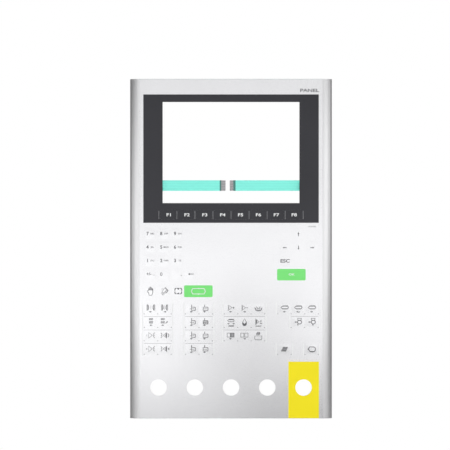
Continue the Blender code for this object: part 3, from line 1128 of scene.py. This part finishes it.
# Symbols of the machine keys, about the middle of each key.
ARROW_Z = -5.2


def under_arrow(legend, way, x=0.0):
    """The small arrow under a symbol that has two ways of moving."""
    legend.arrow(x, ARROW_Z, way, 4.4, 2.6, 0.7)


def draw_mould(legend, spread, way):
    """Two mould halves, apart or together, each with a second line inside."""
    for side in (-1, 1):
        inner, outer = side * (spread + 2.4), side * (spread + 5.2)
        legend.line((inner, 2.6), (inner + side * 1.2, 5.6), (outer, 5.6), (outer, -2.8),
                    (inner + side * 1.2, -2.8), (inner, -0.2), closed=True, width=0.8)
        legend.line((outer - side * 1.3, 4.8), (outer - side * 1.3, -2.0), width=0.8)
    legend.line((0, 4.6), (0, -1.8), width=FINE)
    under_arrow(legend, way, way[0] * 0.8)


def draw_plates(legend, x, way, corner_arrow):
    """Two hatched plates, one over the other."""
    for z, half in ((4.3, 1.2), (-0.6, 1.6)):
        legend.box(x, z, 5.4, half * 2, line=0.5)
        for n in range(5):
            left = x - 2.0 + n
            legend.line((left - 0.4, z - half), (left + 0.4, z + half), width=0.5)
    if corner_arrow:
        legend.arrow(3.4, -0.6, (1, 1), 5.0, 2.2, 0.9)
    under_arrow(legend, way, x)


def draw_nozzle(legend, side, pointer):
    """A cone with rays from its point, hatched where it points left. side is the way that it
    points, and pointer is the mark at the end of the key, if there is one."""
    base = -side * 3.4
    legend.line((base, 4.4), (base, -4.4), (side * 2.2, 0), closed=True, width=0.9)
    for slope in (-4.0, 0, 4.0):
        legend.line((side * 3.6, slope * 0.3), (side * 5.9, slope), width=0.8)
    if side > 0:
        legend.line((-5.9, 1.4), (-6.5, 0), (-5.9, -1.4), width=0.5, curved=True)
    else:
        legend.fill((base + 0.2, 4.8), (base - 1.4, 2.2), (base - 1.4, -2.2), (base + 0.2, -4.8),
                    (base + 0.2, -0.2))
        for z in (-2.6, -1.3, 0, 1.3, 2.6):
            reach = 4.6 - abs(z)
            legend.line((base, z), (base - reach * 0.7, z), width=0.6)
    if pointer == "hook":
        legend.line((5.0, 2.8), (6.4, 1.0), (6.4, -1.0), (5.0, -2.8), width=0.8, curved=True)
    elif pointer == "solid":
        legend.fill((7.4, 2.2), (7.4, -2.2), (4.8, 0))
    elif pointer == "left":
        legend.arrow(-6.6, -0.2, LEFT, 2.4, 1.6, 0.5)


def draw_core(legend, way, kind="plain"):
    """A core in its mould: a box with a bar across it, and a tick over it. The box is hatched
    if it is filled, and the tick has a point if it is headed."""
    left, right = (-0.8, 5.0) if way == LEFT else (-4.2, 3.4)
    shaft = -0.8 if way == LEFT else -1.8
    legend.line((left, 1.9), (right - 0.5, 1.9), (right, 1.4), (right, -2.8),
                (right - 0.5, -3.3), (left, -3.3), closed=True, width=0.95)
    legend.line((left - (2.8 if way == LEFT else 0), -0.7), (right - 1.6, -0.7), width=0.6)
    if kind == "filled":
        for n in range(5):
            x = left + 0.8 + n * 1.35
            legend.line((x, -2.9), (x + 0.5, 1.5), width=0.5)
    if kind == "headed":
        legend.arrow(shaft, 4.0, (0, 1), 4.2, 2.2, 0.8)
    else:
        legend.line((shaft, 2.2), (shaft, 5.8), width=0.8)
    under_arrow(legend, way, shaft - 0.4)


def draw_heating(legend, sign, way):
    """A nozzle cone with a sign at its point."""
    legend.line((-4.0, 5.4), (-4.0, -3.4), (1.8, 1.0), closed=True, width=0.9)
    legend.line((-2.9, 3.8), (-2.9, -1.8), width=0.7)
    if sign == "+":
        legend.line((2.8, 1.0), (5.6, 1.0), width=0.9)
        legend.line((4.2, -0.4), (4.2, 2.4), width=0.9)
    else:
        legend.line((3.0, 1.0), (5.7, 1.0), width=0.7)
    under_arrow(legend, way, -0.4 if sign == "+" else 0.6)


def draw_bowl(legend):
    """A shallow filled bowl with rays that rise from it."""
    legend.line((-4.6, -0.6), (-3.0, -3.0), (0.6, -4.0), (4.2, -3.0), (5.8, -0.6), curved=True,
                width=0.9)
    legend.line((-2.6, -2.0), (0.6, -2.8), (3.8, -2.0), curved=True, width=0.8)
    legend.line((-0.4, -0.8), (-2.6, 2.8), width=0.8)
    legend.line((1.6, -0.8), (3.4, 2.8), width=0.8)
    legend.line((0.6, -1.2), (0.6, 0.6), width=0.6)
    legend.line((-2.8, -0.8), (-5.6, 1.2), width=0.8)
    legend.line((4.0, -0.8), (6.6, 1.0), width=0.8)


def draw_barrel(legend):
    """A barrel over two arrows that point apart, over a hatched band."""
    legend.line((-4.9, 2.0), (-2.8, 3.9), (4.2, 3.9), (5.4, 2.0), (4.2, 0.2), (-2.8, 0.2),
                closed=True, width=0.85)
    for n in range(5):
        legend.line((-2.0 + n * 1.3, 2.6), (-1.6 + n * 1.3, 4.6), width=0.7)
    legend.arrow(-3.4, -2.8, RIGHT, 3.6, 2.2, 0.8)
    legend.arrow(4.4, -2.8, LEFT, 3.6, 2.2, 0.8)
    for n in range(6):
        x = -3.2 + n * 1.4
        legend.line((x, -7.4), (x + 0.9, -5.4), width=0.85)


def draw_drop(legend):
    """A drop whose lower part is filled."""
    legend.line((0.2, 5.0), (3.2, -0.6), (0.2, -3.8), (-2.8, -0.6), closed=True, width=0.85)
    legend.fill((-3.4, -0.8), (-3.2, -4.0), (-1.2, -6.4), (1.6, -6.4), (3.6, -4.0), (3.8, -0.8),
                (0.2, -3.6))


def draw_metering(legend):
    """A hatched cone, an upright bar over a flat one at its right, and a hatched band below."""
    legend.line((-4.0, 4.8), (-4.0, -4.6), (1.6, 0.4), closed=True, width=0.85)
    for n in range(3):
        x, half = -3.2 + n * 0.8, 3.6 - n * 0.8
        legend.line((x, 0.3 - half), (x, 0.3 + half), width=0.6)
    legend.line((4.5, -0.8), (4.5, 2.8), width=1.1)
    legend.line((2.8, -2.4), (6.4, -2.4), width=0.9)
    for n in range(7):
        x = -3.6 + n * 1.3
        legend.line((x, -7.3), (x + 0.6, -5.9), width=0.8)


def draw_stripper(legend, hatched, way):
    """Two boxes side by side, the second hatched while the part is held."""
    legend.box(-3.1 if hatched else -3.3, 0.4, 5.0, 6.2, line=0.9)
    if hatched:
        legend.box(2.6, 0.4, 5.4, 6.4, line=0.8)
        for n in range(4):
            x = 0.8 + n * 1.2
            legend.line((x, -2.6), (x, 3.4), width=0.7)
    else:
        legend.box(3.1, 0.4, 5.0, 6.2, line=0.9)
    under_arrow(legend, way, way[0] * 0.5)


def draw_part_chute(legend):
    """A hatched part over a tray."""
    legend.line((-2.6, 2.0), (-1.2, 4.6), (2.8, 4.8), (3.0, 3.4), (1.6, 0.8), (-2.2, 0.6),
                closed=True, width=0.7)
    for n in range(3):
        x = -1.2 + n * 1.3
        legend.line((x, 1.4), (x + 0.8, 4.2), width=0.8)
    legend.line((-5.2, -1.0), (5.8, -1.0), (5.8, -5.6), (4.4, -7.0), (-3.8, -7.0),
                (-5.2, -5.6), closed=True, width=0.7)


def draw_screw(legend, way, curved_shaft):
    """A plasticising screw: a capsule with a pointed end and a hatched upper side."""
    legend.line((-5.4, 1.4), (-3.2, 3.4), (5.2, 3.9), (6.4, 1.4), (5.0, -0.6), (-3.0, -0.6),
                closed=True, width=0.95)
    for n in range(6):
        legend.line((-2.2 + n * 1.35, 4.5), (-1.6 + n * 1.35, 2.9), width=0.95)
    legend.line((-2.6, -0.8), (4.8, -0.8), width=1.0)
    if curved_shaft:
        legend.fill((-3.0, ARROW_Z), (0.2, ARROW_Z + 1.4), (0.2, ARROW_Z - 1.4))
        legend.line((0.2, ARROW_Z), (1.6, ARROW_Z - 1.0), (3.0, ARROW_Z + 1.0), curved=True)
    else:
        under_arrow(legend, way)


def draw_carriage(legend, leg_x):
    """A ring with a cup on top, a dark bar at its left and a short leg below."""
    legend.ring(2.9, -0.4, 3.2, width=0.95, flat=0.9)
    legend.line((-0.2, 5.6), (0.2, 2.6), (5.2, 2.6), (5.6, 5.6), closed=True, width=0.95)
    legend.block(-3.3, -0.3, 2.6, 1.6)
    legend.line((-2.2, -0.3), (-0.4, -0.3), width=0.9)
    legend.line((leg_x, -3.4), (leg_x, -5.6), width=1.3)


def draw_lubrication(legend):
    """Two slanted, closely hatched bars."""
    for x, z in ((1.0, 1.2), (-0.8, -2.4)):
        legend.line((x - 4.2, z - 1.4), (x + 3.0, z - 1.4), (x + 4.2, z + 1.4),
                    (x - 3.0, z + 1.4), closed=True, width=0.6)
        for n in range(7):
            left = x - 3.5 + n * 1.05
            legend.line((left, z - 1.3), (left + 0.9, z + 1.3), width=0.7)


def draw_open_barrel(legend):
    """A wide barrel outline with a dark nozzle at its left end."""
    legend.line((-5.0, -0.4), (-3.0, 3.0), (3.8, 3.0), (5.8, 1.2), (5.8, -2.0), (4.2, -4.2),
                (-2.4, -4.2), closed=True, width=1.1)
    legend.fill((-6.6, -0.4), (-4.0, 1.8), (-4.0, -2.6))
    legend.line((-2.0, -4.5), (4.2, -4.5), width=HEAVY)


# Each row's symbols from the left: the drawing, and the values that it is drawn with.
ROW_DRAWINGS = {
    "mould_pair": ((draw_mould, 1.0, LEFT), (draw_mould, -0.3, RIGHT)),
    "plate_pair": ((draw_plates, 0.2, LEFT, False), (draw_plates, -2.9, RIGHT, True)),
    "nozzle_pair_upper": ((draw_nozzle, 1, None), (draw_nozzle, -1, "hook")),
    "nozzle_pair_lower": ((draw_nozzle, 1, "left"), (draw_nozzle, -1, "solid")),
    "core_pair_1": ((draw_core, LEFT), (draw_core, RIGHT)),
    "core_pair_2": ((draw_core, LEFT), (draw_core, RIGHT, "filled")),
    "core_pair_3": ((draw_core, LEFT), (draw_core, RIGHT)),
    "core_pair_4": ((draw_core, LEFT, "headed"), (draw_core, RIGHT, "headed")),
    "heating_trio": ((draw_heating, "+", LEFT), (draw_heating, "-", RIGHT), (draw_bowl,)),
    "screw_trio": ((draw_barrel,), (draw_drop,), (draw_metering,)),
    "part_trio": ((draw_stripper, True, LEFT), (draw_stripper, False, RIGHT), (draw_part_chute,)),
    "barrel_trio": ((draw_screw, LEFT, False), (draw_screw, LEFT, True),
                    (draw_screw, RIGHT, False)),
    "carriage_pair": ((draw_carriage, 0.2), (draw_carriage, 2.2)),
    "key_lubrication": ((draw_lubrication,),),
    "key_barrel": ((draw_open_barrel,),),
}


class PANEL_OT_plain_words(bpy.types.Operator):
    """The word beside the power light, and a plain word over the window"""
    bl_idname = "operator_panel.plain_words"
    bl_label = "Plain Words"

    def execute(self, context):
        x, z = middle_of("power_led")
        power = film_legend("power_word", x + 12.9 * MM, z - 1.1 * MM, dark_ink())
        power.word("POWER", 0, 0, 3.3)
        power.press()
        _, border_right, _, border_top = border_box(context.scene.panel_film)
        word = film_legend("panel_word", border_right - 14.5 * MM, border_top + 6.0 * MM,
                           dark_ink())
        word.word("PANEL", 0, 0, 7.0, 0.12, 1.45)
        word.press()
        return {"FINISHED"}


# ---------------------------------------------------------------------------------------------
# Tails and the films inside
# ---------------------------------------------------------------------------------------------

class PANEL_OT_tails(bpy.types.Operator):
    """Lacquer on the two tails, with the printed contacts on their bare ends"""
    bl_idname = "operator_panel.tails"
    bl_label = "Tails"

    def execute(self, context):
        for side, back, edge_width in (("left", -1, 2.3 * MM), ("right", 1, 3.4 * MM)):
            low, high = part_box(f"{side}_tail")
            stiffener_low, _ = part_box(f"{side}_tail_stiffener")
            paint_node(f"{side}_tail", lacquered_tail())
            end = (high.x if back < 0 else low.x) - back * SKIN
            bare = end + back * (BARE_LENGTH + SKIN)
            front = stiffener_low.y - STIFFENER_GAP - TAIL_FILM
            inner, outer = sorted((end, bare))
            bare_film = slab(f"{side}_bare_end", (inner, front - INK_LAYER, low.z - SKIN),
                             (outer, front - 0.005 * MM, high.z + SKIN))
            finish_piece(bare_film, "root", "clear_film",
                         plain_film("bare_film", (0.50, 0.49, 0.50), 0.4))
            z = (low.z + high.z) / 2 - (TRACE_COUNT - 1) / 2 * TRACE_PITCH
            finger = slab("finger", (inner, front - 2 * INK_LAYER, z - FINGER_WIDTH / 2),
                          (outer, front - INK_LAYER, z + FINGER_WIDTH / 2), 0.2 * MM, 3)
            copies = [moved_copy(finger, (0, 0, n * TRACE_PITCH)) for n in range(1, TRACE_COUNT)]
            contacts = join([finger, *copies], f"{side}_contacts")
            finish_piece(contacts, "root", "contact_carbon", carbon_print())
            inner, outer = sorted((bare, bare - back * edge_width))
            edge = slab(f"{side}_lacquer_edge", (inner, front - 3 * INK_LAYER, low.z),
                        (outer, front - 2 * INK_LAYER, high.z))
            finish_piece(edge, "root", "circuit_film",
                         plain_film("dark_lacquer", (0.06, 0.23, 0.20), 0.4))
        return {"FINISHED"}


class PANEL_OT_inner_films(bpy.types.Operator):
    """Finishes of the sheets between the overlay and the plate, the stiffeners and the light"""
    bl_idname = "operator_panel.inner_films"
    bl_label = "Inner Films"

    def execute(self, context):
        glue = plain_film("white_adhesive", (0.85, 0.84, 0.78), 0.6)
        lacquer = plain_film("circuit_lacquer", context.scene.panel_colours.teal[:], 0.38)
        board = plain_film("stiffener_board", (0.35, 0.35, 0.36), 0.5)
        finishes = {
            "overlay_spacer": glue,
            "circuit_spacer": glue,
            "rear_adhesive": glue,
            "dome_layer": plain_film("dome_film", (0.80, 0.82, 0.84), 0.28, 0.4),
            "upper_circuit": lacquer,
            "lower_circuit": lacquer,
            "left_tail_stiffener": board,
            "right_tail_stiffener": board,
            "power_led": plain_film("light_resin", (0.90, 0.90, 0.84), 0.25, 0.3, scale=300),
        }
        for node, finish in finishes.items():
            paint_node(node, finish)
        return {"FINISHED"}


def paint_node(node, finish):
    """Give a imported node, kept as it is, a finish."""
    materials = frame["nodes"][node].data.materials
    materials.clear()
    materials.append(finish)


# ---------------------------------------------------------------------------------------------
# Stage
# ---------------------------------------------------------------------------------------------

class PANEL_OT_stage(bpy.types.Operator):
    """Pale floor, soft studio light and a camera straight in front"""
    bl_idname = "operator_panel.stage"
    bl_label = "Stage"

    def execute(self, context):
        settings = context.scene.panel_stage
        make_floor(PLATE_LOW.z - settings.floor_drop)
        make_room(settings.room_light)
        for light in LIGHTS:
            make_light(*light)
        add_camera(settings)
        context.scene.view_settings.view_transform = "Standard"
        return {"FINISHED"}


# The floor's radius, and how far from the panel's middle it starts and ends its fade to white.
FLOOR_RADIUS = 1.9
FLOOR_FADE = (0.6, 1.5)


def make_floor(z):
    """Round pale floor, whose outer part fades into the white of the room."""
    deselect_all()
    bpy.ops.mesh.primitive_circle_add(vertices=96, radius=FLOOR_RADIUS, fill_type="NGON",
                                      location=(0, 0, z))
    floor = settle(bpy.context.object)
    floor.name = floor.data.name = "studio_floor"
    paint, nodes, links, shader = new_finish("studio_floor_paint", (0.93, 0.93, 0.93), 0.75)
    cloud = object_pattern(nodes, links, "ShaderNodeTexNoise", 2, Detail=2)
    vary_colour(nodes, links, shader, cloud.outputs["Fac"], (0.93, 0.93, 0.93), 0.985)
    place = nodes.new("ShaderNodeTexCoord")
    length = nodes.new("ShaderNodeVectorMath")
    length.operation = "LENGTH"
    fade = nodes.new("ShaderNodeMapRange")
    fade.interpolation_type = "SMOOTHSTEP"
    fade.inputs["From Min"].default_value = FLOOR_FADE[0]
    fade.inputs["From Max"].default_value = FLOOR_FADE[1]
    glow = nodes.new("ShaderNodeEmission")
    glow.inputs["Color"].default_value = (1, 1, 1, 1)
    glow.inputs["Strength"].default_value = 1.0
    mix = nodes.new("ShaderNodeMixShader")
    links.new(place.outputs["Object"], length.inputs[0])
    links.new(length.outputs["Value"], fade.inputs["Value"])
    links.new(fade.outputs["Result"], mix.inputs["Fac"])
    links.new(shader.outputs["BSDF"], mix.inputs[1])
    links.new(glow.outputs["Emission"], mix.inputs[2])
    links.new(mix.outputs["Shader"], nodes["Material Output"].inputs["Surface"])
    floor.data.materials.append(paint)


def make_room(strength):
    """White behind the panel, and a dim even light from all around."""
    world = bpy.data.worlds.new("studio_room")
    bpy.context.scene.world = world
    world.use_nodes = True
    nodes, links = world.node_tree.nodes, world.node_tree.links
    light = nodes["Background"]
    light.inputs["Color"].default_value = (1, 1, 1, 1)
    light.inputs["Strength"].default_value = strength
    backdrop = nodes.new("ShaderNodeBackground")
    backdrop.inputs["Color"].default_value = (1, 1, 1, 1)
    backdrop.inputs["Strength"].default_value = 1.0
    seen = nodes.new("ShaderNodeLightPath")
    mix = nodes.new("ShaderNodeMixShader")
    links.new(seen.outputs["Is Camera Ray"], mix.inputs["Fac"])
    links.new(light.outputs["Background"], mix.inputs[1])
    links.new(backdrop.outputs["Background"], mix.inputs[2])
    links.new(mix.outputs["Shader"], nodes["World Output"].inputs["Surface"])


# Name, place, point it faces, width and height, watts.
LIGHTS = (
    ("front_panel", (0, -0.6, 0.24), (0, 0, 0.24), 0.9, 0.40, 1.07),
    ("front_middle", (0, -0.6, -0.02), (0, 0, -0.02), 0.9, 0.12, 0.41),
    ("front_low_left", (-0.22, -0.6, -0.16), (-0.22, 0, -0.16), 0.32, 0.16, 0.222),
    ("front_low_middle", (0, -0.6, -0.16), (0, 0, -0.16), 0.22, 0.16, 0.078),
    ("front_low_right", (0.23, -0.6, -0.16), (0.23, 0, -0.16), 0.32, 0.16, 0.205),
    ("front_foot_left", (-0.14, -0.6, -0.30), (-0.14, 0, -0.30), 0.32, 0.12, 0.088),
    ("front_foot_right", (0.14, -0.6, -0.30), (0.14, 0, -0.30), 0.24, 0.12, 0.012),
    ("left_front", (-0.75, -0.6, -0.01), (-0.75, 0, -0.01), 0.6, 0.38, 0.86),
    ("right_front", (0.75, -0.6, 0.065), (0.75, 0, 0.065), 0.6, 0.51, 1.10),
    ("left_wall", (-1.0, -0.35, 0.02), (0, -0.35, 0.02), 1.3, 0.32, 1.05),
    ("right_wall", (1.0, -0.35, 0.12), (0, -0.35, 0.12), 1.3, 0.40, 1.55),
    ("overhead", (0, 0.3, 2.4), (0, 0.3, 0), 3.0, 3.0, 68.0),
    ("back_left", (-1.1, 1.3, 2.2), (0, 0, 0), 1.2, 1.2, 30.0),
    ("back_right", (1.1, 1.3, 2.2), (0, 0, 0), 1.2, 1.2, 30.0),
)


def make_light(name, place, target, width, height, watts):
    turn = (Vector(target) - Vector(place)).to_track_quat("-Z", "Y").to_euler()
    bpy.ops.object.light_add(type="AREA", location=place, rotation=turn)
    light = bpy.context.object
    light.name = light.data.name = name
    light.data.shape = "RECTANGLE"
    light.data.size = width
    light.data.size_y = height
    light.data.energy = watts
    light.visible_camera = False


def add_camera(settings):
    across, up = settings.aim
    bpy.ops.object.camera_add(location=(across, FILM_FRONT - settings.distance, up),
                              rotation=(UPRIGHT, 0, 0))
    camera = bpy.context.object
    camera.name = "front_camera"
    camera.data.lens = camera.data.sensor_width * settings.distance / settings.field
    bpy.context.scene.camera = camera


# ---------------------------------------------------------------------------------------------
# Add-on
# ---------------------------------------------------------------------------------------------

STEPS = (
    PANEL_OT_front_plate,
    PANEL_OT_graphic_overlay,
    PANEL_OT_key_faces,
    PANEL_OT_function_legends,
    PANEL_OT_digit_legends,
    PANEL_OT_control_legends,
    PANEL_OT_row_legends,
    PANEL_OT_plain_words,
    PANEL_OT_tails,
    PANEL_OT_inner_films,
    PANEL_OT_stage,
)


class PANEL_PT_maker(bpy.types.Panel):
    """Lists the panel's making steps and their settings"""
    bl_label = "Operator Panel"
    bl_idname = "PANEL_PT_maker"
    bl_space_type = "VIEW_3D"
    bl_region_type = "UI"
    bl_category = "Operator Panel"

    def draw(self, context):
        for step in STEPS:
            self.layout.operator(step.bl_idname)
        for name, group in SETTINGS:
            box = self.layout.box()
            for key in group.__annotations__:
                box.prop(getattr(context.scene, name), key)


def register():
    for name, group in SETTINGS:
        bpy.utils.register_class(group)
        setattr(bpy.types.Scene, name, PointerProperty(type=group))
    for step in STEPS:
        bpy.utils.register_class(step)
    bpy.utils.register_class(PANEL_PT_maker)


def unregister():
    bpy.utils.unregister_class(PANEL_PT_maker)
    for step in reversed(STEPS):
        bpy.utils.unregister_class(step)
    for name, group in reversed(SETTINGS):
        delattr(bpy.types.Scene, name)
        bpy.utils.unregister_class(group)


def main():
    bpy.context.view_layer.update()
    register()
    bpy.ops.operator_panel.front_plate()
    bpy.ops.operator_panel.graphic_overlay()
    bpy.ops.operator_panel.key_faces()
    bpy.ops.operator_panel.function_legends()
    bpy.ops.operator_panel.digit_legends()
    bpy.ops.operator_panel.control_legends()
    bpy.ops.operator_panel.row_legends()
    bpy.ops.operator_panel.plain_words()
    bpy.ops.operator_panel.tails()
    bpy.ops.operator_panel.inner_films()
    bpy.ops.operator_panel.stage()


if __name__ == "__main__":
    main()
